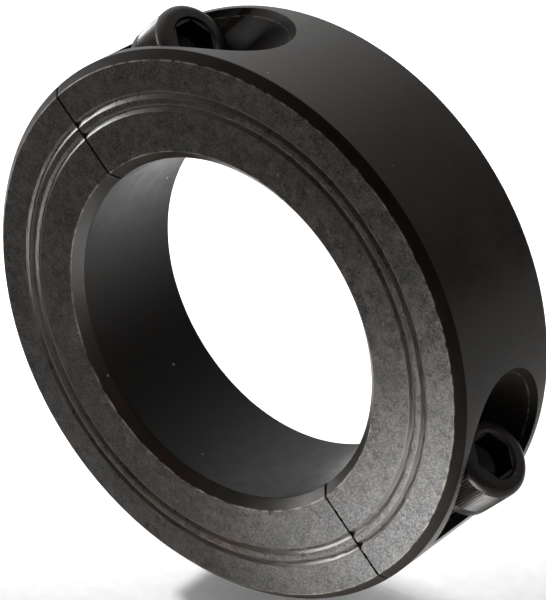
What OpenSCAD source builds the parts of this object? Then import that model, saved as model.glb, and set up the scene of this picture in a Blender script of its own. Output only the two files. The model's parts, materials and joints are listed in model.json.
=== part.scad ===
// Two-piece clamp collar for a round shaft.
//
// A split ring is drawn round the shaft by two socket head cap screws. Both screws
// pass through one half, with their heads in round pockets that open through the
// rim, and thread into the other half.
//
// The bore runs along Y and the origin is its centre. The grooved face looks
// towards -Y. The split is turned about the bore, so that the collar stands on its
// rim with one screw high up and the other low down. Sizes are in millimetres.

/* [Ring] */
// Diameter of the shaft that the collar clamps
shaft_d = 41.275; // [30:0.125:60]
// Thickness of the ring from its bore to its rim
ring_wall = 12.7; // [12.5:0.1:18]
// Width of the ring along the shaft
ring_width = 17.4625; // [14.5:0.1:30]
// Chamfer where the faces meet the rim
rim_chamfer = 1.0; // [0.2:0.1:1.5]
// Chamfer where the faces meet the bore
bore_chamfer = 1.15; // [0.2:0.05:1.5]
// Gap between the two halves while they hold a shaft of the nominal size
split_gap = 0.3; // [0.2:0.05:3]
// Angle that the split is turned about the bore
split_tilt = 45; // [0:5:90]

/* [Face grooves] */
// Distance from the rim to the middle of the outer groove
groove_inset = 4.95; // [2.5:0.05:6]
// Distance from one groove to the next
groove_pitch = 1.5; // [1.1:0.1:2.5]
// Width of each groove at the face
groove_width = 0.8; // [0.3:0.05:1]
// Depth of each groove
groove_depth = 0.3; // [0.1:0.05:0.6]

/* [Screw seats] */
// Ring material left between the bore and a screw hole
bore_land = 4.1; // [2:0.1:5]
// Material under a screw head when it is tight, measured from the middle of the split
seat_height = 6.5; // [3:0.1:9]
// Gap round a screw head in its pocket
head_gap = 2.1; // [0.5:0.05:2.2]
// Gap round the shank in the half that it passes through
shank_gap = 0.3; // [0.1:0.05:0.5]
// Running gap between the screw thread and the tapped hole
thread_gap = 0.05; // [0.02:0.01:0.1]
// Countersink at the mouth of each tapped hole
tap_countersink = 0.5; // [0.2:0.1:0.8]

/* [Cap screws] */
// Outer diameter of the screw thread
screw_d = 6.35; // [5:0.05:8]
// Length of a screw under its head
screw_length = 19.05; // [16:0.05:23]
// Diameter of a screw head
head_d = 9.525; // [8:0.025:12]
// Height of a screw head
head_height = 6.35; // [5:0.05:9]
// Chamfer round the top of a screw head
head_chamfer = 0.55; // [0.1:0.05:0.8]
// Chamfer round the underside of a screw head
head_under_chamfer = 0.2; // [0.1:0.05:0.4]
// Chamfer at a screw's tip
tip_chamfer = 0.7; // [0.3:0.1:1]
// Width of the hexagonal socket across its flats
socket_across_flats = 4.7625; // [3:0.01:5.2]
// Depth of the flat sides of the socket
socket_depth = 3.05; // [2:0.05:3.6]
// Angle at the tip of the drill that opened the socket
socket_drill_angle = 118; // [90:2:140]
// Countersink round the mouth of the socket
socket_countersink = 0.25; // [0.1:0.05:0.4]
// How far the upper screw's head stands off its seat
upper_screw_lift = 1.8; // [0.1:0.1:5]
// How far the lower screw's head stands off its seat
lower_screw_lift = 4.2; // [0.1:0.1:5]

/* [Hidden] */

ring_faces = 180;
hole_faces = 72;
cut_margin = 1;

steel_black = [0.17, 0.16, 0.15];
screw_black = [0.12, 0.12, 0.12];

bore_r = shaft_d / 2;
rim_r = bore_r + ring_wall;
face_y = ring_width / 2;

outer_groove_r = rim_r - groove_inset;
inner_groove_r = outer_groove_r - groove_pitch;
groove_floor = groove_width / 4;

screw_r = screw_d / 2;
head_r = head_d / 2;
shank_hole_r = screw_r + shank_gap;
tapped_hole_r = screw_r + thread_gap;
pocket_r = head_r + head_gap;
// Distance from the bore's axis to each screw's axis
screw_offset = bore_r + bore_land + shank_hole_r;
upper_side = -1;
lower_side = 1;

socket_corner_r = socket_across_flats / 2 / cos(30);
socket_point_depth = socket_across_flats / 2 / tan(socket_drill_angle / 2);

// One groove across the face, from its outer edge to its inner edge
function groove_points(r) = [
    [r + groove_width / 2, face_y],
    [r + groove_floor / 2, face_y - groove_depth],
    [r - groove_floor / 2, face_y - groove_depth],
    [r - groove_width / 2, face_y]
];

// Section of the ring: distance from the axis, then height towards the grooved face
ring_section = concat(
    [
        [bore_r, -face_y + bore_chamfer],
        [bore_r + bore_chamfer, -face_y],
        [rim_r - rim_chamfer, -face_y],
        [rim_r, -face_y + rim_chamfer],
        [rim_r, face_y - rim_chamfer],
        [rim_r - rim_chamfer, face_y]
    ],
    groove_points(outer_groove_r),
    groove_points(inner_groove_r),
    [
        [bore_r + bore_chamfer, face_y],
        [bore_r, face_y - bore_chamfer]
    ]
);

// Section of a screw: distance from its axis, then height above the head's underside
screw_section = [
    [0, -screw_length],
    [screw_r - tip_chamfer, -screw_length],
    [screw_r, -screw_length + tip_chamfer],
    [screw_r, 0],
    [head_r - head_under_chamfer, 0],
    [head_r, head_under_chamfer],
    [head_r, head_height - head_chamfer],
    [head_r - head_chamfer, head_height],
    [0, head_height]
];

// Places what is drawn with its split level and its screw heads up
module turned_to_split() {
    rotate([0, split_tilt, 0]) children();
}

// The whole ring, with the grooved face towards -Y
module ring() {
    rotate([90, 0, 0]) rotate_extrude($fn = ring_faces) polygon(ring_section);
}

// The ring on one side of the split: up is 1 for the side of the screw heads
module half_ring(up) {
    room = rim_r + cut_margin;
    intersection() {
        ring();
        translate([-room, -room, up > 0 ? split_gap / 2 : -room]) cube([2 * room, 2 * room, room - split_gap / 2]);
    }
}

// Draws its children on both screw axes
module on_both_screw_axes() {
    for (side = [upper_side, lower_side]) translate([side * screw_offset, 0, 0]) children();
}

// Clearance hole and head pocket, from below the split to past the rim
module shank_hole_and_pocket() {
    translate([0, 0, -cut_margin]) cylinder(r = shank_hole_r, h = seat_height + 2 * cut_margin, $fn = hole_faces);
    translate([0, 0, seat_height]) cylinder(r = pocket_r, h = rim_r, $fn = hole_faces);
}

// Tapped hole, with a countersink at the split and its far end open through the rim
module tapped_hole() {
    mouth = -split_gap / 2;
    translate([0, 0, -rim_r]) cylinder(r = tapped_hole_r, h = rim_r, $fn = hole_faces);
    translate([0, 0, mouth - tap_countersink])
        cylinder(r1 = tapped_hole_r, r2 = tapped_hole_r + tap_countersink, h = tap_countersink, $fn = hole_faces);
}

// Hexagonal socket in the top of a screw head, with its drill point and mouth
module hex_socket() {
    floor_height = head_height - socket_depth;
    mouth_height = head_height - socket_countersink;
    translate([0, 0, floor_height]) cylinder(r = socket_corner_r, h = socket_depth + cut_margin, $fn = 6);
    translate([0, 0, floor_height - socket_point_depth])
        cylinder(r1 = 0, r2 = socket_across_flats / 2, h = socket_point_depth, $fn = hole_faces);
    translate([0, 0, mouth_height])
        cylinder(
            r1 = socket_corner_r,
            r2 = socket_corner_r + socket_countersink,
            h = socket_countersink,
            $fn = hole_faces
        );
}

// A cap screw on one screw axis, with its head a lift above the seat
module cap_screw(side, lift) {
    turned_to_split()
        translate([side * screw_offset, 0, seat_height + lift])
            difference() {
                rotate_extrude($fn = hole_faces) polygon(screw_section);
                hex_socket();
            }
}

module head_side_half() {
    color(steel_black) turned_to_split() difference() {
        half_ring(1);
        on_both_screw_axes() shank_hole_and_pocket();
    }
}

module threaded_half() {
    color(steel_black) turned_to_split() difference() {
        half_ring(-1);
        on_both_screw_axes() tapped_hole();
    }
}

module upper_screw() {
    color(screw_black) cap_screw(upper_side, upper_screw_lift);
}

module lower_screw() {
    color(screw_black) cap_screw(lower_side, lower_screw_lift);
}

head_side_half();
threaded_half();
upper_screw();
lower_screw();
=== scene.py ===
"""Looks of a two-piece clamp collar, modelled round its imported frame.

Everything is in metres in the frame's own axes: the bore lies along Y, the grooved
face looks towards -Y, and the split is turned about the bore. Each piece is modelled
with its split level and its screws upright, and is then turned into place.
"""

import json
import logging
import math
from dataclasses import dataclass, field, replace
from enum import Enum
from itertools import pairwise
from typing import Callable, Sequence

import bmesh
import bpy
from mathutils import Matrix, Vector

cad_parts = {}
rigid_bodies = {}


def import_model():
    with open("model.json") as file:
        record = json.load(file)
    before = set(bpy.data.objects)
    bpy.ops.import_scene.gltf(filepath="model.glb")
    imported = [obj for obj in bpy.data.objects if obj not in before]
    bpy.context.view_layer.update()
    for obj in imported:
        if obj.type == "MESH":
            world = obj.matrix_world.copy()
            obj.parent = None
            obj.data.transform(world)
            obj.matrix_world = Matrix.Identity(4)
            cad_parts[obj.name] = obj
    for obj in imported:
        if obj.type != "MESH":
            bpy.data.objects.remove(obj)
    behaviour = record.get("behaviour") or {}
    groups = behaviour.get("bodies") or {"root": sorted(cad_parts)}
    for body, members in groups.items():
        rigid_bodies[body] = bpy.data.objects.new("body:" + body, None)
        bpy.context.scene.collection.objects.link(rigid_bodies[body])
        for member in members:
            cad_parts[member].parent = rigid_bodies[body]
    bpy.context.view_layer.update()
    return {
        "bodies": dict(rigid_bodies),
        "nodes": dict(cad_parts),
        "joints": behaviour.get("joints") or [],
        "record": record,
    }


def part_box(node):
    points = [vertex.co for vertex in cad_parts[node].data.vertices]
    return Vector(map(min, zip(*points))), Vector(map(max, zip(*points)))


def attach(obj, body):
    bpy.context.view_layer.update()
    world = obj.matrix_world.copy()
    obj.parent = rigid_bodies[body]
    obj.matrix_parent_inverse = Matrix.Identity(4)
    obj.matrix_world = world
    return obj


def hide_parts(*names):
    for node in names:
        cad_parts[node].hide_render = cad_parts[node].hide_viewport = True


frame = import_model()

log = logging.getLogger("collar")

MM = 0.001
INCH = 0.0254
EPSILON = 1e-6
TOOL_SIDES = 64

# The least share of a normal that points straight out of a flat face.
FLAT = 0.999

# The thread's form, in shares of the pitch.
THREAD_DEPTH = 0.6134
THREAD_CREST = 1 / 8
WIDEST_HALF_TOOTH = 0.48

# How much wider a tapped hole's root is than the screw's, in clearances.
TAP_ROOT_SHARE = 2.5
BORE_AXIS = Vector((0.0, 1.0, 0.0))
SCREW_AXIS = Vector((0.0, 0.0, 1.0))


class Side(Enum):
    """The two screw positions, as signs along the level split."""

    UPPER = -1
    LOWER = 1


class Surface(Enum):
    """A kind of surface on the ring, as the number of its finish."""

    FACED = 0
    TURNED = 1
    CHAMFERED = 2
    MILLED = 3
    BORED = 4


class Half(Enum):
    """The two halves of the ring, as signs along the upright screws."""

    HEAD_SIDE = 1
    THREADED = -1


# ---------------------------------------------------------------- tools of the bench


def deselect_all() -> None:
    """Leaves edit mode and deselects every object."""
    if bpy.context.object and bpy.context.object.mode != "OBJECT":
        bpy.ops.object.mode_set(mode="OBJECT")
    bpy.ops.object.select_all(action="DESELECT")


def take_up(piece: bpy.types.Object) -> None:
    """Makes a piece the only selected object and the active one.

    Args:
        piece: The object to work on.
    """
    deselect_all()
    piece.select_set(True)
    bpy.context.view_layer.objects.active = piece


def edit(piece: bpy.types.Object) -> None:
    """Opens a piece in edit mode, set to pick vertices, with nothing selected.

    Args:
        piece: The object to edit.
    """
    take_up(piece)
    bpy.ops.object.mode_set(mode="EDIT")
    bpy.ops.mesh.select_mode(type="VERT")
    bpy.ops.mesh.select_all(action="DESELECT")


def select_where(piece: bpy.types.Object, chosen: Callable[[Vector], bool]) -> None:
    """Selects the vertices at chosen places, in edit mode.

    Args:
        piece: The object in edit mode.
        chosen: Tells from a vertex's place whether it is selected.
    """
    mesh = bmesh.from_edit_mesh(piece.data)
    for vertex in mesh.verts:
        vertex.select_set(chosen(vertex.co))
    mesh.select_flush(True)
    bmesh.update_edit_mesh(piece.data)


def apply_modifier(piece: bpy.types.Object, kind: str, **settings: object) -> None:
    """Adds a modifier to a piece and applies it.

    Args:
        piece: The object to change.
        kind: Blender's name for the modifier type.
        **settings: Its settings by name.
    """
    take_up(piece)
    modifier = piece.modifiers.new(kind.lower(), kind)
    for name, value in settings.items():
        setattr(modifier, name, value)
    bpy.ops.object.modifier_apply(modifier=modifier.name)


def trace_outline(name: str, points: Sequence[Vector], closed: bool) -> bpy.types.Object:
    """Draws an outline by drawing one vertex out from point to point.

    Args:
        name: Name of the new piece.
        points: Corners of the outline in order.
        closed: Whether the last point is joined to the first.

    Returns:
        The outline, in object mode.
    """
    deselect_all()
    bpy.ops.mesh.primitive_plane_add(size=MM, location=points[0])
    outline = bpy.context.object
    outline.name = name
    bpy.ops.object.transform_apply(location=True, rotation=True, scale=True)
    bpy.ops.object.mode_set(mode="EDIT")
    bpy.ops.mesh.select_all(action="SELECT")
    bpy.ops.mesh.merge(type="CENTER")
    for start, end in pairwise(points):
        bpy.ops.mesh.extrude_vertices_move(TRANSFORM_OT_translate={"value": end - start})
    if closed:
        first, last = points[0], points[-1]
        near = 0.001 * MM
        select_where(outline, lambda co: (co - first).length < near or (co - last).length < near)
        bpy.ops.mesh.edge_face_add()
    bpy.ops.object.mode_set(mode="OBJECT")
    return outline


def round_corners(outline: bpy.types.Object, width: float, segments: int = 2) -> None:
    """Rounds every corner of an outline.

    Args:
        outline: The outline to change.
        width: Distance from a corner to the start of its round.
        segments: Number of straight steps in each round.
    """
    edit(outline)
    bpy.ops.mesh.select_all(action="SELECT")
    bpy.ops.mesh.bevel(offset=width, segments=segments, profile=0.5, affect="VERTICES")
    bpy.ops.object.mode_set(mode="OBJECT")


def arc(
    across: float, up: float, radius: float, start: float, end: float, steps: int
) -> list[tuple[float, float]]:
    """Gives points along an arc in a section.

    Args:
        across: Distance of the arc's centre from the axis.
        up: Height of the arc's centre.
        radius: Radius of the arc.
        start: Angle of its first point.
        end: Angle of its last point.
        steps: Number of straight steps.

    Returns:
        Distance from the axis and height of each point.
    """
    angles = (start + (end - start) * i / steps for i in range(steps + 1))
    return [(across + radius * math.cos(a), up + radius * math.sin(a)) for a in angles]


def spin_outline(outline: bpy.types.Object, axis: Vector, angle: float, steps: int) -> None:
    """Turns an outline about an axis through the origin.

    Args:
        outline: The outline to sweep.
        axis: Direction of the axis.
        angle: Angle of the sweep.
        steps: Number of steps in the sweep.
    """
    edit(outline)
    bpy.ops.mesh.select_all(action="SELECT")
    bpy.ops.mesh.spin(steps=steps, angle=angle, center=(0, 0, 0), axis=axis, use_auto_merge=False)
    bpy.ops.mesh.select_all(action="SELECT")
    bpy.ops.mesh.remove_doubles(threshold=0.001 * MM)
    bpy.ops.mesh.normals_make_consistent(inside=False)
    bpy.ops.object.mode_set(mode="OBJECT")


def slice_off(piece: bpy.types.Object, point: Vector, normal: Vector) -> None:
    """Cuts a piece with a plane, drops what the normal points to and closes the cut.

    Args:
        piece: The object to cut.
        point: A point on the plane.
        normal: The plane's normal, towards what is dropped.
    """
    edit(piece)
    bpy.ops.mesh.select_all(action="SELECT")
    bpy.ops.mesh.bisect(
        plane_co=point, plane_no=normal, use_fill=True, clear_outer=True, threshold=EPSILON
    )
    bpy.ops.mesh.select_all(action="SELECT")
    bpy.ops.mesh.normals_make_consistent(inside=False)
    bpy.ops.object.mode_set(mode="OBJECT")


def add_cylinder(
    radius: float,
    bottom: Vector,
    height: float,
    sides: int = TOOL_SIDES,
    top_radius: float | None = None,
) -> bpy.types.Object:
    """Adds an upright cylinder or cone as a cutting tool.

    Args:
        radius: Radius at the bottom.
        bottom: Centre of the bottom.
        height: Height along Z.
        sides: Number of sides.
        top_radius: Radius at the top, if it isn't the same.

    Returns:
        The tool, in object mode.
    """
    deselect_all()
    middle = bottom + SCREW_AXIS * (height / 2)
    bpy.ops.mesh.primitive_cone_add(
        vertices=sides,
        radius1=radius,
        radius2=radius if top_radius is None else top_radius,
        depth=height,
        location=middle,
    )
    tool = bpy.context.object
    bpy.ops.object.transform_apply(location=True, rotation=True, scale=True)
    return tool


def cut_away(piece: bpy.types.Object, tool: bpy.types.Object) -> None:
    """Cuts a tool's shape out of a piece and clears the tool away.

    Args:
        piece: The object to cut.
        tool: The object whose shape is cut out.
    """
    apply_modifier(piece, "BOOLEAN", operation="DIFFERENCE", solver="EXACT", object=tool)
    bpy.data.objects.remove(tool)


def break_edges(piece: bpy.types.Object, width: float, angle: float, segments: int = 2) -> None:
    """Rounds the sharp edges of a piece.

    Args:
        piece: The object to change.
        width: Width of each round.
        angle: Least angle between two faces whose edge is rounded.
        segments: Number of faces across each round.
    """
    apply_modifier(
        piece,
        "BEVEL",
        width=width,
        segments=segments,
        limit_method="ANGLE",
        angle_limit=angle,
        use_clamp_overlap=False,
    )


def merge_close(piece: bpy.types.Object, distance: float) -> None:
    """Merges the vertices of a piece that lie closer than a distance.

    Args:
        piece: The object to change.
        distance: Distance under which two vertices become one.
    """
    edit(piece)
    bpy.ops.mesh.select_all(action="SELECT")
    bpy.ops.mesh.remove_doubles(threshold=distance)
    bpy.ops.object.mode_set(mode="OBJECT")


def smooth(piece: bpy.types.Object, angle: float) -> None:
    """Shades a piece smooth, apart from its sharp edges.

    Args:
        piece: The object to shade.
        angle: Angle from which an edge stays sharp.
    """
    take_up(piece)
    bpy.ops.object.shade_smooth_by_angle(angle=angle)
    apply_modifier(piece, "WEIGHTED_NORMAL", keep_sharp=True)


def turn_to_split(piece: bpy.types.Object, tilt: float) -> None:
    """Turns a piece about the bore, from a level split to the frame's own.

    Args:
        piece: The object to turn.
        tilt: Angle about +Y.
    """
    take_up(piece)
    piece.rotation_euler = (0.0, tilt, 0.0)
    bpy.ops.object.transform_apply(location=True, rotation=True, scale=True)


# ---------------------------------------------------------------- finishes


def srgb(code: str) -> tuple[float, float, float, float]:
    """Turns an sRGB hex code to a linear colour.

    Args:
        code: Six hex digits after a #.

    Returns:
        The linear red, green and blue, and full cover.
    """
    channels = (int(code[i : i + 2], 16) / 255 for i in (1, 3, 5))
    linear = (c / 12.92 if c <= 0.04045 else ((c + 0.055) / 1.055) ** 2.4 for c in channels)
    return (*linear, 1.0)


def add_node(
    tree: bpy.types.NodeTree, kind: str, settings: dict | None = None, **inputs: object
) -> bpy.types.Node:
    """Adds a shader node with its settings, socket values and links.

    Args:
        tree: The material's node tree.
        kind: Blender's identifier of the node type.
        settings: Properties of the node by name.
        **inputs: Value or source socket by input name, with _ for a space, or i and a
            number for an input by its place.

    Returns:
        The new node.
    """
    node = tree.nodes.new(kind)
    for name, value in (settings or {}).items():
        setattr(node, name, value)
    for name, value in inputs.items():
        by_place = name[0] == "i" and name[1:].isdigit()
        socket = node.inputs[int(name[1:]) if by_place else name.replace("_", " ")]
        if isinstance(value, bpy.types.NodeSocket):
            tree.links.new(value, socket)
        else:
            socket.default_value = value
    return node


def add_ramp(
    tree: bpy.types.NodeTree, source: bpy.types.NodeSocket, stops: Sequence[tuple[float, tuple]]
) -> bpy.types.NodeSocket:
    """Adds a colour ramp, whose stops aren't sockets that add_node could set.

    Args:
        tree: The material's node tree.
        source: The value that is read.
        stops: Position and colour of each stop.

    Returns:
        The colour at the value.
    """
    ramp = add_node(tree, "ShaderNodeValToRGB", Fac=source)
    elements = ramp.color_ramp.elements
    while len(elements) < len(stops):
        elements.new(0.5)
    for element, (position, colour) in zip(elements, stops):
        element.position = position
        element.color = colour
    return ramp.outputs["Color"]


def scaled_noise(
    tree: bpy.types.NodeTree, place: bpy.types.NodeSocket, size: float, detail: float, roughness: float
) -> bpy.types.NodeSocket:
    """Adds a noise whose blotches have a real size.

    Args:
        tree: The material's node tree.
        place: The coordinates it reads, in metres.
        size: Size of its blotches in metres.
        detail: Number of finer layers.
        roughness: How strong the finer layers are.

    Returns:
        The noise, about 0.5 in the mean.
    """
    noise = add_node(
        tree, "ShaderNodeTexNoise", Vector=place, Scale=1 / size, Detail=detail, Roughness=roughness
    )
    return noise.outputs["Fac"]


def remap(
    tree: bpy.types.NodeTree,
    value: bpy.types.NodeSocket,
    low: float,
    high: float,
    start: float,
    end: float,
) -> bpy.types.NodeSocket:
    """Maps one range of a value to another and holds it there.

    Args:
        tree: The material's node tree.
        value: The value that is read.
        low: Lower end of its range.
        high: Upper end of its range.
        start: Result at the lower end.
        end: Result at the upper end.

    Returns:
        The result.
    """
    mapped = add_node(
        tree, "ShaderNodeMapRange", Value=value, From_Min=low, From_Max=high, To_Min=start, To_Max=end
    )
    return mapped.outputs["Result"]


def calculate(
    tree: bpy.types.NodeTree, operation: str, first: object, second: object = 0.0
) -> bpy.types.NodeSocket:
    """Adds one step of arithmetic.

    Args:
        tree: The material's node tree.
        operation: Blender's name of the operation.
        first: First value or socket.
        second: Second value or socket, where the operation has one.

    Returns:
        The result.
    """
    return add_node(tree, "ShaderNodeMath", {"operation": operation}, i0=first, i1=second).outputs[0]


def blend_colours(
    tree: bpy.types.NodeTree, share: object, under: object, over: object
) -> bpy.types.NodeSocket:
    """Lays one colour over another.

    Args:
        tree: The material's node tree.
        share: How much of the upper colour shows.
        under: The lower colour.
        over: The upper colour.

    Returns:
        The blended colour.
    """
    return add_node(tree, "ShaderNodeMix", {"data_type": "RGBA"}, i0=share, i6=under, i7=over).outputs[2]


def distance_from_bore(tree: bpy.types.NodeTree, place: bpy.types.NodeSocket) -> bpy.types.NodeSocket:
    """Adds the distance of a place from the bore's axis.

    Args:
        tree: The material's node tree.
        place: Coordinates in metres.

    Returns:
        The distance in metres.
    """
    flatten = {"operation": "MULTIPLY"}
    across = add_node(tree, "ShaderNodeVectorMath", flatten, i0=place, i1=(1.0, 0.0, 1.0))
    radius = add_node(tree, "ShaderNodeVectorMath", {"operation": "LENGTH"}, i0=across.outputs[0])
    return radius.outputs["Value"]


@dataclass(frozen=True)
class BlackOxideSteel:
    """Black oxide over machined steel: a thin, porous magnetite skin sealed with oil.

    It looks nearly black with a brown cast and a soft, low gloss. The skin took unevenly, so it is clouded;
    its crystals give it a fine grain that glitters where the light glances off; oil residue and wear leave
    small light specks. Thin light lines along the turned edges are a painted highlight, where the rounded
    edges catch the light.
    """

    name: str = "black_oxide_faced_steel"
    dark: str = "#0e0a06"
    brown: str = "#181009"
    dusty: str = "#3d3730"
    # Light colour of the rubbed specks, and of the painted highlight lines along the turned edges.
    rubbed_and_highlight: str = "#a39a8c"
    cloud_size: float = 6.0 * MM
    patch_size: float = 1.3 * MM
    grain_size: float = 0.22 * MM
    speck_spacing: float = 1.9 * MM
    speck_share: float = 0.16
    speck_size: float = 0.085
    tool_pitch: float = 0.16 * MM
    roughness: float = 0.27
    gloss_level: float = 0.235
    grain_height: float = 0.03 * MM
    ripple_height: float = 0.04 * MM
    liveliness: float = 1.0
    tool_height: float = 0.006 * MM
    # Radii of the turned edges that get a painted highlight line, and the width of that line.
    edges: tuple[float, ...] = ()
    edge_highlight_width: float = 0.12 * MM

    def specks(self, tree: bpy.types.NodeTree, place: bpy.types.NodeSocket) -> bpy.types.NodeSocket:
        """Adds the places where the skin is rubbed or the oil has dried.

        Args:
            tree: The material's node tree.
            place: Coordinates in metres.

        Returns:
            1 in a speck and 0 elsewhere.
        """
        wobble = add_node(tree, "ShaderNodeTexNoise", Vector=place, Scale=1 / self.grain_size)
        bent = add_node(
            tree,
            "ShaderNodeVectorMath",
            {"operation": "MULTIPLY_ADD"},
            i0=wobble.outputs["Color"],
            i1=(self.grain_size,) * 3,
            i2=place,
        )
        spots = 1 / self.speck_spacing
        cells = add_node(tree, "ShaderNodeTexVoronoi", Vector=bent.outputs[0], Scale=spots)
        chance = add_node(tree, "ShaderNodeSeparateColor", Color=cells.outputs["Color"])
        chosen = calculate(tree, "LESS_THAN", chance.outputs["Red"], self.speck_share)
        size = calculate(tree, "MULTIPLY", chance.outputs["Green"], self.speck_size)
        inside = calculate(tree, "LESS_THAN", cells.outputs["Distance"], size)
        return calculate(tree, "MULTIPLY", chosen, inside)

    def painted_edge_highlights(
        self, tree: bpy.types.NodeTree, place: bpy.types.NodeSocket, patches: bpy.types.NodeSocket
    ) -> bpy.types.NodeSocket:
        """Adds the painted highlight: light lines along the turned edges, where the rounded edges catch the
        light.

        Args:
            tree: The material's node tree.
            place: Coordinates in metres.
            patches: Noise that breaks the lines up.

        Returns:
            Strength of the painted highlight, from 0 to 1.
        """
        radius = distance_from_bore(tree, place)
        highlight_line = 0.0
        for edge in self.edges:
            away = calculate(tree, "ABSOLUTE", calculate(tree, "SUBTRACT", radius, edge))
            line = remap(tree, away, self.edge_highlight_width / 3, self.edge_highlight_width, 1.0, 0.0)
            highlight_line = calculate(tree, "MAXIMUM", line, highlight_line)
        return calculate(tree, "MULTIPLY", highlight_line, remap(tree, patches, 0.42, 0.62, 0.0, 0.35))

    def tool_marks(self, tree: bpy.types.NodeTree, place: bpy.types.NodeSocket) -> bpy.types.NodeSocket:
        """Adds the fine marks that the turning tool left round the bore.

        Args:
            tree: The material's node tree.
            place: Coordinates in metres.

        Returns:
            Height of the marks, about 0.5 in the mean.
        """
        radius = distance_from_bore(tree, place)
        axes = add_node(tree, "ShaderNodeSeparateXYZ", Vector=place)
        section = add_node(tree, "ShaderNodeCombineXYZ", X=radius, Y=axes.outputs["Y"])
        return scaled_noise(tree, section.outputs[0], self.tool_pitch, 2.0, 0.6)

    def material(self) -> bpy.types.Material:
        """Builds the node tree of the finish.

        Returns:
            The finished material.
        """
        material = bpy.data.materials.new(self.name)
        material.use_nodes = True
        tree = material.node_tree
        tree.nodes.clear()
        place = add_node(tree, "ShaderNodeTexCoord").outputs["Object"]

        clouds = scaled_noise(tree, place, self.cloud_size, 3.0, 0.6)
        patches = scaled_noise(tree, place, self.patch_size, 4.0, 0.65)
        grain = scaled_noise(tree, place, self.grain_size, 2.0, 0.7)
        specks = self.specks(tree, place)
        marks = self.tool_marks(tree, place)

        skin = add_ramp(tree, clouds, [(0.36, srgb(self.dark)), (0.64, srgb(self.brown))])
        dusty_patches = remap(tree, patches, 0.45, 0.75, 0.0, 0.5)
        dusty_grains = remap(tree, grain, 0.5, 0.7, 0.0, 1.0)
        dust = calculate(tree, "MULTIPLY", dusty_patches, dusty_grains)
        dust_share = calculate(tree, "MULTIPLY", dust, self.liveliness)
        dusted = blend_colours(tree, dust_share, skin, srgb(self.dusty))
        # Painted highlight: light lines along the turned edges, laid on together with the rubbed specks.
        highlight_line = self.painted_edge_highlights(tree, place, patches)
        specks_and_highlight = calculate(tree, "MAXIMUM", specks, highlight_line)
        colour = blend_colours(tree, specks_and_highlight, dusted, srgb(self.rubbed_and_highlight))

        wide_unevenness = remap(tree, clouds, 0.3, 0.7, -0.03, 0.03)
        fine_unevenness = remap(tree, patches, 0.35, 0.65, -0.03, 0.04)
        uneven = calculate(tree, "ADD", wide_unevenness, fine_unevenness)
        dullness = calculate(tree, "ADD", uneven, self.roughness)
        ripples = add_node(tree, "ShaderNodeBump", Height=patches, Distance=self.ripple_height)
        ridges = add_node(
            tree,
            "ShaderNodeBump",
            Height=marks,
            Distance=self.tool_height,
            Normal=ripples.outputs["Normal"],
        )
        bumps = add_node(
            tree,
            "ShaderNodeBump",
            Height=grain,
            Distance=self.grain_height,
            Normal=ridges.outputs["Normal"],
        )
        sheen = remap(tree, patches, 0.38, 0.62, -0.15, 0.3)
        sparkle = remap(tree, grain, 0.38, 0.70, -0.3, 1.3)
        shimmer = calculate(tree, "ADD", sheen, sparkle)
        lively = calculate(tree, "MULTIPLY", shimmer, self.liveliness)
        glitter = calculate(tree, "MULTIPLY", calculate(tree, "ADD", lively, 1.0), self.gloss_level)
        shader = add_node(
            tree,
            "ShaderNodeBsdfPrincipled",
            Base_Color=colour,
            Roughness=dullness,
            Normal=bumps.outputs["Normal"],
            Specular_IOR_Level=glitter,
        )
        add_node(tree, "ShaderNodeOutputMaterial", Surface=shader.outputs["BSDF"])
        return material


@dataclass(frozen=True)
class StudioPaper:
    """Uncoated studio paper: a matt sheet, nearly white, with a faint fibre."""

    name: str = "white_studio_paper"
    light: str = "#fbfbfb"
    shade: str = "#f4f4f4"
    fibre_size: float = 2.0 * MM

    def material(self) -> bpy.types.Material:
        """Builds the node tree of the finish.

        Returns:
            The finished material.
        """
        material = bpy.data.materials.new(self.name)
        material.use_nodes = True
        tree = material.node_tree
        tree.nodes.clear()
        place = add_node(tree, "ShaderNodeTexCoord").outputs["Object"]
        fibre = add_node(tree, "ShaderNodeTexNoise", Vector=place, Scale=1 / self.fibre_size, Detail=2.0)
        tint = add_ramp(tree, fibre.outputs["Fac"], [(0.3, srgb(self.shade)), (0.7, srgb(self.light))])
        shader = add_node(tree, "ShaderNodeBsdfPrincipled", Base_Color=tint, Roughness=0.9)
        add_node(tree, "ShaderNodeOutputMaterial", Surface=shader.outputs["BSDF"])
        return material


# ---------------------------------------------------------------- the collar


@dataclass
class CollarSizes:
    """Sizes that every piece shares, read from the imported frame."""

    bore_r: float
    rim_r: float
    face_y: float
    screw_offset: float
    tilt: float
    lowest: float
    split_gap: float = 0.3 * MM
    seat_height: float = 6.5 * MM
    screw_r: float = 6.35 * MM / 2
    thread_pitch: float = INCH / 28
    pocket_r: float = 6.8625 * MM
    shank_hole_r: float = 3.475 * MM

    @classmethod
    def from_frame(cls, packed: dict) -> "CollarSizes":
        """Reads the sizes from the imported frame.


        Returns:
            The shared sizes.
        """
        mounts = {mount["name"]: mount for mount in packed["record"]["mounts"]}
        low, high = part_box("threaded_half")
        turn = next(joint for joint in packed["joints"] if joint["type"] == "hinge")
        axis = Vector(turn["axis"])
        part = next(joint for joint in packed["joints"] if joint["type"] == "slide")
        sinks = part["range_m"][1] * Vector(part["axis"]).normalized().z
        return cls(
            bore_r=mounts["shaft_bore"]["dims"]["r_mm"] * MM,
            rim_r=-low.z,
            face_y=high.y,
            screw_offset=Vector(turn["pos_m"]).length,
            tilt=math.atan2(axis.x, axis.z),
            lowest=low.z + sinks,
        )


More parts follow.
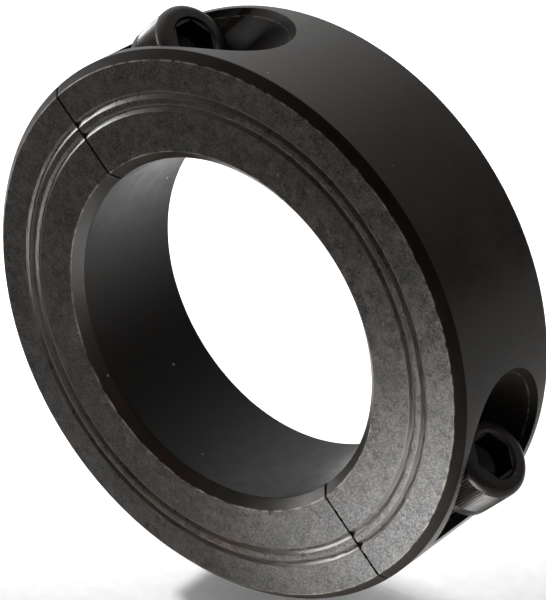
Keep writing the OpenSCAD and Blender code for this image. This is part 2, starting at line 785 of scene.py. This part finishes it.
@dataclass
class RingHalf:
    """One half of the split ring, with its screw holes."""

    sizes: CollarSizes
    half: Half
    finishes: dict[Surface, bpy.types.Material]
    rim_chamfer: float = 1.0 * MM
    bore_chamfer: float = 1.15 * MM
    groove_inset: float = 4.95 * MM
    groove_pitch: float = 1.5 * MM
    groove_width: float = 0.8 * MM
    groove_depth: float = 0.3 * MM
    turned_round: float = 0.08 * MM
    cut_round: float = 0.04 * MM
    steps: int = 128
    hole_sides: int = 96
    thread_gap: float = 0.05 * MM
    tap_countersink: float = 0.5 * MM
    weld: float = 0.03 * MM
    rounded_from: float = math.radians(50)
    sharp_from: float = math.radians(40)

    @classmethod
    def turned_edges(cls, sizes: CollarSizes) -> tuple[float, ...]:
        """Gives the radii at which the flat faces end in a chamfer.

        Args:
            sizes: The shared sizes.

        Returns:
            The radius at the rim and the radius at the bore.
        """
        return (sizes.rim_r - cls.rim_chamfer, sizes.bore_r + cls.bore_chamfer)

    @property
    def node(self) -> str:
        """Name of the CAD node that this half stands for."""
        return self.half.name.lower() + "_half"

    def groove(self, middle: float) -> list[tuple[float, float]]:
        """Gives one groove's corners across the face, from outside to inside.

        Args:
            middle: Radius of the groove's middle.

        Returns:
            Radius and Y of each corner.
        """
        face = -self.sizes.face_y
        floor = face + self.groove_depth
        wide, narrow = self.groove_width / 2, self.groove_width / 20
        return [
            (middle + wide, face),
            (middle + narrow, floor),
            (middle - narrow, floor),
            (middle - wide, face),
        ]

    def section(self) -> list[Vector]:
        """Gives the corners of the ring's section, beside the bore's axis.

        Returns:
            The corners in order, in the plane of the split.
        """
        bore, rim, face = self.sizes.bore_r, self.sizes.rim_r, self.sizes.face_y
        outer_groove = rim - self.groove_inset
        corners = [
            (bore, face - self.bore_chamfer),
            (bore + self.bore_chamfer, face),
            (rim - self.rim_chamfer, face),
            (rim, face - self.rim_chamfer),
            (rim, -face + self.rim_chamfer),
            (rim - self.rim_chamfer, -face),
            *self.groove(outer_groove),
            *self.groove(outer_groove - self.groove_pitch),
            (bore + self.bore_chamfer, -face),
            (bore, -face + self.bore_chamfer),
        ]
        return [Vector((radius, y, 0.0)) for radius, y in corners]

    def turn_blank(self) -> bpy.types.Object:
        """Spins the section to a half ring and cuts it flat at the split.

        Returns:
            The half without its holes.
        """
        blank = trace_outline(self.node + "_visual", self.section(), closed=True)
        round_corners(blank, self.turned_round)
        spin_outline(blank, BORE_AXIS * self.half.value, math.pi, self.steps)
        up = SCREW_AXIS * self.half.value
        slice_off(blank, up * (self.sizes.split_gap / 2), -up)
        return blank

    def bore_head_seats(self, blank: bpy.types.Object) -> None:
        """Cuts the clearance holes and the head pockets.

        Args:
            blank: The half ring.
        """
        sizes = self.sizes
        for side in Side:
            foot = Vector((side.value * sizes.screw_offset, 0.0, 0.0))
            below = foot - SCREW_AXIS * MM
            depth = sizes.seat_height + 2 * MM
            cut_away(blank, add_cylinder(sizes.shank_hole_r, below, depth, self.hole_sides))
            seat = foot + SCREW_AXIS * sizes.seat_height
            cut_away(blank, add_cylinder(sizes.pocket_r, seat, sizes.rim_r, self.hole_sides))

    def tap_holes(self, blank: bpy.types.Object) -> None:
        """Cuts the tapped holes through to the rim.

        Args:
            blank: The half ring.
        """
        sizes = self.sizes
        tap = ThreadForm.of_screw(sizes).widened(self.thread_gap)
        mouth_r = tap.crest_r + self.tap_countersink
        for side in Side:
            foot = Vector((side.value * sizes.screw_offset, 0.0, 0.0))
            cut_away(blank, tap.rod("tap", foot, -sizes.rim_r, MM))
            rise = self.tap_countersink + sizes.split_gap / 2
            bottom = foot - SCREW_AXIS * (rise + tap.crest_r)
            cut_away(blank, add_cylinder(0.0, bottom, mouth_r + MM, top_radius=mouth_r + MM))

    def in_grooves(self, radius: float) -> bool:
        """Tells whether a radius is between the two chamfers, where the grooves are."""
        return self.sizes.bore_r + self.bore_chamfer < radius < self.sizes.rim_r - self.rim_chamfer

    def surface_at(self, middle: Vector, normal: Vector) -> Surface:
        """Tells how a place on the half was cut, with its screws upright.

        Args:
            middle: The place.
            normal: Direction that the surface faces there.

        Returns:
            The kind of surface.
        """
        across = abs(middle.x) - self.sizes.screw_offset
        radius = math.hypot(middle.x, middle.z)
        on_face = abs(normal.y) > FLAT
        on_rim = radius > self.sizes.rim_r - self.rim_chamfer / 2
        at_split = abs(middle.z) < self.sizes.split_gap
        near_face = abs(middle.y) > self.sizes.face_y - self.rim_chamfer
        slanting = 0.3 < abs(normal.y) < 0.9
        if near_face and slanting:
            return Surface.TURNED if self.in_grooves(radius) else Surface.CHAMFERED
        if radius < self.sizes.bore_r + self.bore_chamfer and not on_face and not at_split:
            return Surface.BORED
        reach = self.sizes.pocket_r + 0.01 * MM
        if math.hypot(across, middle.y) < reach and not (on_face or on_rim or at_split):
            return Surface.MILLED
        return Surface.FACED if on_face else Surface.TURNED

    def dress(self, piece: bpy.types.Object) -> None:
        """Gives each kind of surface its own finish.

        Args:
            piece: The half, with its screws upright.
        """
        piece.data.materials.clear()
        for surface in Surface:
            piece.data.materials.append(self.finishes[surface])
        for face in piece.data.polygons:
            face.material_index = self.surface_at(face.center, face.normal).value

    def build(self) -> bpy.types.Object:
        """Models the half, dresses it and hangs it on its body.

        Returns:
            The finished piece.
        """
        piece = self.turn_blank()
        if self.half is Half.HEAD_SIDE:
            self.bore_head_seats(piece)
        else:
            self.tap_holes(piece)
        merge_close(piece, self.weld)
        break_edges(piece, self.cut_round, self.rounded_from)
        smooth(piece, self.sharp_from)
        self.dress(piece)
        turn_to_split(piece, self.sizes.tilt)
        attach(piece, self.node)
        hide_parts(self.node)
        return piece


@dataclass(frozen=True)
class ThreadForm:
    """A 60 degree thread, as one tooth of the section of its rod.

    A tapped hole is cut with a rod that is wider by its clearances.
    """

    pitch: float
    crest_r: float
    root_r: float
    half_crest: float

    @classmethod
    def of_screw(cls, sizes: CollarSizes) -> "ThreadForm":
        """Gives the screw's own thread.

        Args:
            sizes: The shared sizes.

        Returns:
            The thread with its usual depth and crest.
        """
        pitch = sizes.thread_pitch
        root_r = sizes.screw_r - THREAD_DEPTH * pitch
        return cls(pitch, sizes.screw_r, root_r, THREAD_CREST * pitch / 2)

    def widened(self, clearance: float) -> "ThreadForm":
        """Gives the thread that a tap cuts for this one.

        Args:
            clearance: Gap between the two threads, square to the axis.

        Returns:
            The wider thread.
        """
        root_r = self.root_r + TAP_ROOT_SHARE * clearance
        return ThreadForm(self.pitch, self.crest_r + clearance, root_r, self.half_crest)

    def rod(self, name: str, foot: Vector, low: float, high: float, steps: int = 48) -> bpy.types.Object:
        """Winds one tooth up to a threaded rod and cuts it flat at both ends.

        The crest starts at the split level, so that every rod on one axis is in mesh.

        Args:
            name: Name of the new piece.
            foot: Where the rod's axis meets the split.
            low: Height of its lower end.
            high: Height of its upper end.
            steps: Number of steps in a turn.

        Returns:
            The rod, closed at its ends.
        """
        half_root = self.half_crest + (self.crest_r - self.root_r) * math.tan(math.radians(30))
        half_root = min(half_root, self.pitch * WIDEST_HALF_TOOTH)
        start = (math.floor(low / self.pitch) - 2) * self.pitch
        turns = math.ceil((high - low) / self.pitch) + 4
        tooth = [
            Vector((self.root_r, 0.0, start - half_root)),
            Vector((self.crest_r, 0.0, start - self.half_crest)),
            Vector((self.crest_r, 0.0, start + self.half_crest)),
            Vector((self.root_r, 0.0, start + half_root)),
            Vector((self.root_r, 0.0, start + self.pitch - half_root)),
        ]
        rod = trace_outline(name, tooth, closed=False)
        apply_modifier(
            rod,
            "SCREW",
            angle=math.tau,
            screw_offset=self.pitch,
            iterations=turns,
            steps=steps,
            render_steps=steps,
        )
        merge_close(rod, 0.001 * MM)
        slice_off(rod, SCREW_AXIS * high, SCREW_AXIS)
        slice_off(rod, SCREW_AXIS * low, -SCREW_AXIS)
        rod.location = foot
        take_up(rod)
        bpy.ops.object.transform_apply(location=True, rotation=True, scale=True)
        return rod


@dataclass
class CapScrew:
    """A socket head cap screw with a knurled head and a right-hand thread."""

    sizes: CollarSizes
    side: Side
    lift: float
    finish: bpy.types.Material
    head_r: float = 9.525 * MM / 2
    head_height: float = 6.35 * MM
    head_round: float = 0.95 * MM
    under_round: float = 0.2 * MM
    length: float = 19.05 * MM
    tip_chamfer: float = 0.7 * MM
    across_flats: float = 4.7625 * MM
    socket_depth: float = 3.05 * MM
    socket_mouth: float = 0.25 * MM
    drill_angle: float = math.radians(118)
    drill_overlap: float = 1.02
    flutes: int = 84
    flute_depth: float = 0.13 * MM
    plain_band: float = 1.1 * MM
    thread_in_head: float = 0.5 * MM
    weld: float = 0.0005 * MM
    sharp_from: float = math.radians(22)

    @property
    def node(self) -> str:
        """Name of the CAD node that this screw stands for."""
        return self.side.name.lower() + "_screw"

    @property
    def foot(self) -> Vector:
        """Where the screw's axis meets the split."""
        return Vector((self.side.value * self.sizes.screw_offset, 0.0, 0.0))

    @property
    def seat(self) -> float:
        """Height of the underside of the head above the split."""
        return self.sizes.seat_height + self.lift

    def head_section(self) -> list[Vector]:
        """Gives the section of the head, from the middle of its top to its underside.

        Returns:
            The corners in order, with the axis at X = 0 and the underside at Z = 0.
        """
        knurl_low, knurl_high = self.plain_band, self.head_height - self.head_round
        corners = [(0.0, self.head_height), (self.head_r * 0.6, self.head_height)]
        corners += arc(self.head_r - self.head_round, knurl_high, self.head_round, math.pi / 2, 0.0, 6)
        corners += [
            (self.head_r, knurl_high - self.flute_depth),
            (self.head_r, knurl_low + self.flute_depth),
            (self.head_r, knurl_low),
        ]
        under = self.under_round
        corners += arc(self.head_r - under, under, under, 0.0, -math.pi / 2, 5)
        corners += [(0.0, 0.0)]
        return [Vector((radius, 0.0, height)) for radius, height in corners]

    def turn_head(self) -> bpy.types.Object:
        """Spins the head and presses the flutes of the knurl.

        Returns:
            The head on its axis, with the underside at Z = 0.
        """
        head = trace_outline(self.node + "_visual", self.head_section(), closed=False)
        spin_outline(head, SCREW_AXIS, math.tau, 2 * self.flutes)
        step = math.tau / (2 * self.flutes)
        low = self.plain_band + self.flute_depth / 2
        high = self.head_height - self.head_round - self.flute_depth / 2

        def in_flute(place: Vector) -> bool:
            """Tells whether a vertex is on the knurl, in the middle of a flute."""
            turned = round(math.atan2(place.y, place.x) / step) % 2 == 1
            return turned and low < place.z < high

        edit(head)
        select_where(head, in_flute)
        pressed = 1 - self.flute_depth / self.head_r
        bpy.ops.transform.resize(value=(pressed, pressed, 1.0), center_override=(0.0, 0.0, 0.0))
        bpy.ops.object.mode_set(mode="OBJECT")
        return head

    def sink_socket(self, screw: bpy.types.Object) -> None:
        """Cuts the hexagon socket, its drill point and its mouth.

        Args:
            screw: The screw in its place.
        """
        corner_r = self.across_flats / 2 / math.cos(math.pi / 6)
        top = self.foot + SCREW_AXIS * (self.seat + self.head_height)
        floor = top - SCREW_AXIS * self.socket_depth
        hexagon = add_cylinder(corner_r, floor, self.socket_depth + MM, 6)
        cut_away(screw, hexagon)
        point_depth = self.across_flats / 2 / math.tan(self.drill_angle / 2)
        tip = floor - SCREW_AXIS * point_depth
        drill = add_cylinder(
            0.0,
            tip,
            point_depth * self.drill_overlap,
            top_radius=self.across_flats / 2 * self.drill_overlap,
        )
        cut_away(screw, drill)
        mouth = top - SCREW_AXIS * self.socket_mouth
        rise = 2 * self.socket_mouth
        cut_away(screw, add_cylinder(corner_r, mouth, rise, top_radius=corner_r + rise))

    def build(self) -> bpy.types.Object:
        """Models the screw, dresses it and hangs it on its body.

        Returns:
            The finished piece.
        """
        piece = self.turn_head()
        piece.location = self.foot + SCREW_AXIS * self.seat
        take_up(piece)
        bpy.ops.object.transform_apply(location=True, rotation=True, scale=True)
        tip = self.seat - self.length
        top = self.seat + self.thread_in_head
        thread = ThreadForm.of_screw(self.sizes).rod("thread", self.foot, tip, top)
        reach = self.length + MM
        tip_r = self.sizes.screw_r - self.tip_chamfer
        blunt = add_cylinder(tip_r, self.foot + SCREW_AXIS * tip, reach, top_radius=tip_r + reach)
        apply_modifier(thread, "BOOLEAN", operation="INTERSECT", solver="EXACT", object=blunt)
        bpy.data.objects.remove(blunt)
        apply_modifier(piece, "BOOLEAN", operation="UNION", solver="EXACT", object=thread)
        bpy.data.objects.remove(thread)
        self.sink_socket(piece)
        merge_close(piece, self.weld)
        smooth(piece, self.sharp_from)
        turn_to_split(piece, self.sizes.tilt)
        piece.data.materials.clear()
        piece.data.materials.append(self.finish)
        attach(piece, self.node)
        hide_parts(self.node)
        return piece


# Both screws stand loose in their pockets, the lower one more than the upper one.
SCREW_LIFTS = {Side.UPPER: 1.8 * MM, Side.LOWER: 4.2 * MM}


def turned_steel(sizes: CollarSizes) -> BlackOxideSteel:
    """Gives the smooth satin of the turned rim and grooves.

    Args:
        sizes: The shared sizes.

    Returns:
        The finish, from which the darker, duller copies that paint shade are varied.
    """
    return BlackOxideSteel(
        name="black_oxide_turned_steel",
        dark="#1f1912",
        brown="#282018",
        roughness=0.3,
        gloss_level=0.34,
        liveliness=0.1,
        grain_height=0.004 * MM,
        ripple_height=0.004 * MM,
        # The turned edges that get the painted highlight line.
        edges=RingHalf.turned_edges(sizes),
    )


def ring_finishes(sizes: CollarSizes) -> dict[Surface, bpy.types.Material]:
    """Makes the finishes of the ring.

    The flat faces are the liveliest, with a bright grain. The chamfers, the bore and the milled holes get
    darker, duller copies of the turned steel: painted shade for the recesses and for the chamfers that lie
    dark in the light.

    Args:
        sizes: The shared sizes.

    Returns:
        One material for each kind of surface.
    """
    turned = turned_steel(sizes)
    steels = {
        Surface.FACED: BlackOxideSteel(edges=turned.edges),
        Surface.TURNED: turned,
        # Painted shade: a darker, duller copy of the turned steel for the chamfers.
        Surface.CHAMFERED: replace(
            turned,
            name="black_oxide_chamfered_steel",
            dark="#0e0a06",
            brown="#181009",
            roughness=0.35,
            gloss_level=0.14,
        ),
        # Painted shade: a darker, duller copy of the turned steel inside the holes and head pockets.
        Surface.MILLED: replace(
            turned,
            name="black_oxide_milled_steel",
            dark="#0d0906",
            brown="#17100a",
            roughness=0.6,
            gloss_level=0.12,
        ),
        # Painted shade: a darker, duller copy of the turned steel inside the bore.
        Surface.BORED: replace(
            turned,
            name="black_oxide_bored_steel",
            dark="#0c0906",
            brown="#120e09",
            roughness=0.42,
            gloss_level=0.2,
        ),
    }
    return {surface: steel.material() for surface, steel in steels.items()}


def screw_finish(sizes: CollarSizes) -> bpy.types.Material:
    """Makes the finish of the screws, a black oxide with a brown cast and few specks.

    Args:
        sizes: The shared sizes.

    Returns:
        The material.
    """
    steel = replace(
        turned_steel(sizes),
        name="black_oxide_alloy_steel",
        dark="#140e0a",
        brown="#261c14",
        roughness=0.34,
        gloss_level=0.4,
        liveliness=0.3,
        speck_share=0.04,
        edges=(),
    )
    return steel.material()


# ---------------------------------------------------------------- the studio


@dataclass
class Studio:
    """Floor, soft lights and camera.

    The floor lies just under the lowest place that a half comes to as the collar opens.
    """

    sizes: CollarSizes
    azimuth: float = math.radians(37.94)
    elevation: float = math.radians(28.32)
    distance: float = 335.7 * MM
    aim_right: float = 0.94 * MM
    aim_up: float = 0.62 * MM
    lens: float = 176.5
    floor_size: float = 8.0
    floor_gap: float = 0.05 * MM
    lamp_radius: float = 30 * MM
    pale_side: Vector = field(default_factory=lambda: Vector((-0.65, 0.45, 0.61)))
    pale_wall: str = "#ffffff"
    grey_wall: str = "#a8a8a8"
    dim_wall: str = "#5c5c5c"
    room_strength: float = 1.25

    @property
    def floor_level(self) -> float:
        """Height of the floor."""
        return self.sizes.lowest - self.floor_gap

    def view_axes(self) -> tuple[Vector, Vector, Vector]:
        """Gives the camera's right, up and backward directions."""
        a, e = self.azimuth, self.elevation
        right = Vector((math.cos(a), math.sin(a), 0.0))
        back = Vector((math.sin(a) * math.cos(e), -math.cos(a) * math.cos(e), math.sin(e)))
        return right, back.cross(right), back

    def add_camera(self) -> None:
        """Adds the camera at its angle."""
        right, up, back = self.view_axes()
        data = bpy.data.cameras.new("camera")
        data.lens = self.lens
        data.clip_start = 10 * MM
        camera = bpy.data.objects.new("camera", data)
        camera.matrix_world = Matrix((right, up, back)).transposed().to_4x4()
        camera.location = right * self.aim_right + up * self.aim_up + back * self.distance
        bpy.context.scene.collection.objects.link(camera)
        bpy.context.scene.camera = camera

    def add_floor(self) -> None:
        """Adds the pale floor under the collar."""
        deselect_all()
        bpy.ops.mesh.primitive_plane_add(size=self.floor_size, location=(0.0, 0.0, self.floor_level))
        floor = bpy.context.object
        floor.name = "floor"
        bpy.ops.object.transform_apply(location=True, rotation=True, scale=True)
        floor.data.materials.append(StudioPaper().material())

    def add_panel(self, name: str, place: Vector, aim: Vector, size: float, power: float) -> None:
        """Adds a square soft light.

        Args:
            name: Name of the light.
            place: Where it hangs.
            aim: The point it looks at.
            size: Length of its side.
            power: Power in watts.
        """
        data = bpy.data.lights.new(name, "AREA")
        data.size = size
        data.energy = power
        self.hang(bpy.data.objects.new(name, data), place, aim)

    def add_spot(
        self, name: str, place: Vector, aim: Vector, cone: float, blend: float, power: float
    ) -> None:
        """Adds a soft-edged spot light.

        Args:
            name: Name of the light.
            place: Where it hangs.
            aim: The point it looks at.
            cone: Full angle of its cone in degrees.
            blend: Share of the cone over which it fades.
            power: Power in watts.
        """
        data = bpy.data.lights.new(name, "SPOT")
        data.spot_size = math.radians(cone)
        data.spot_blend = blend
        data.shadow_soft_size = self.lamp_radius
        data.energy = power
        self.hang(bpy.data.objects.new(name, data), place, aim)

    def hang(self, light: bpy.types.Object, place: Vector, aim: Vector) -> None:
        """Hangs a light in its place and points it.

        Args:
            light: The light.
            place: Where it hangs.
            aim: The point it looks at.
        """
        light.location = place
        light.rotation_mode = "QUATERNION"
        light.rotation_quaternion = (aim - place).to_track_quat("-Z", "Y")
        bpy.context.scene.collection.objects.link(light)

    def add_room(self) -> None:
        """Adds the even light of a room that is pale on the left and dim on the right."""
        scene = bpy.context.scene
        world = bpy.data.worlds.new("studio_room")
        scene.world = world
        world.use_nodes = True
        tree = world.node_tree
        tree.nodes.clear()
        direction = add_node(tree, "ShaderNodeTexCoord").outputs["Generated"]
        along = add_node(
            tree,
            "ShaderNodeVectorMath",
            {"operation": "DOT_PRODUCT"},
            i0=direction,
            i1=tuple(self.pale_side),
        )
        walls = add_ramp(
            tree,
            along.outputs["Value"],
            [(0.1, srgb(self.dim_wall)), (0.65, srgb(self.grey_wall)), (1.0, srgb(self.pale_wall))],
        )
        sky = add_node(tree, "ShaderNodeBackground", Color=walls, Strength=self.room_strength)
        add_node(tree, "ShaderNodeOutputWorld", Surface=sky.outputs["Background"])
        scene.view_settings.view_transform = "Standard"

    def add_lights(self) -> None:
        """Adds the soft lights."""
        behind = Vector((-0.067, 0.101, self.floor_level))
        beside = Vector((-0.051, 0.021, self.floor_level))
        in_front = Vector((0.020, -0.051, self.floor_level))
        middle = Vector((0.0, 0.0, 0.0))
        self.add_room()
        self.add_spot("back_wash", Vector((-0.50, 0.12, 0.42)), behind, cone=17.0, blend=0.8, power=30.0)
        self.add_spot("side_wash", Vector((-0.45, 0.00, 0.35)), beside, cone=12.0, blend=0.7, power=22.0)
        self.add_spot("front_patch", Vector((0.03, -0.10, 0.45)), in_front, cone=4.9, blend=1.0, power=500.0)
        self.add_panel("left_strip", Vector((-0.50, -0.16, 0.0)), middle, size=0.14, power=2.6)

    def build(self) -> None:
        """Builds the studio."""
        self.add_floor()
        self.add_lights()
        self.add_camera()


def main() -> None:
    """Builds the collar and the studio in order."""
    logging.basicConfig(level=logging.INFO, format="%(name)s: %(message)s")
    sizes = CollarSizes.from_frame(frame)
    studio = Studio(sizes)
    studio.build()
    log.info("studio is set")
    finishes = ring_finishes(sizes)
    oxide_on_screws = screw_finish(sizes)
    for half in Half:
        piece = RingHalf(sizes, half, finishes).build()
        log.info("%s has %d faces", piece.name, len(piece.data.polygons))
    for side in Side:
        piece = CapScrew(sizes, side, SCREW_LIFTS[side], oxide_on_screws).build()
        log.info("%s has %d faces", piece.name, len(piece.data.polygons))


if __name__ == "__main__":
    main()
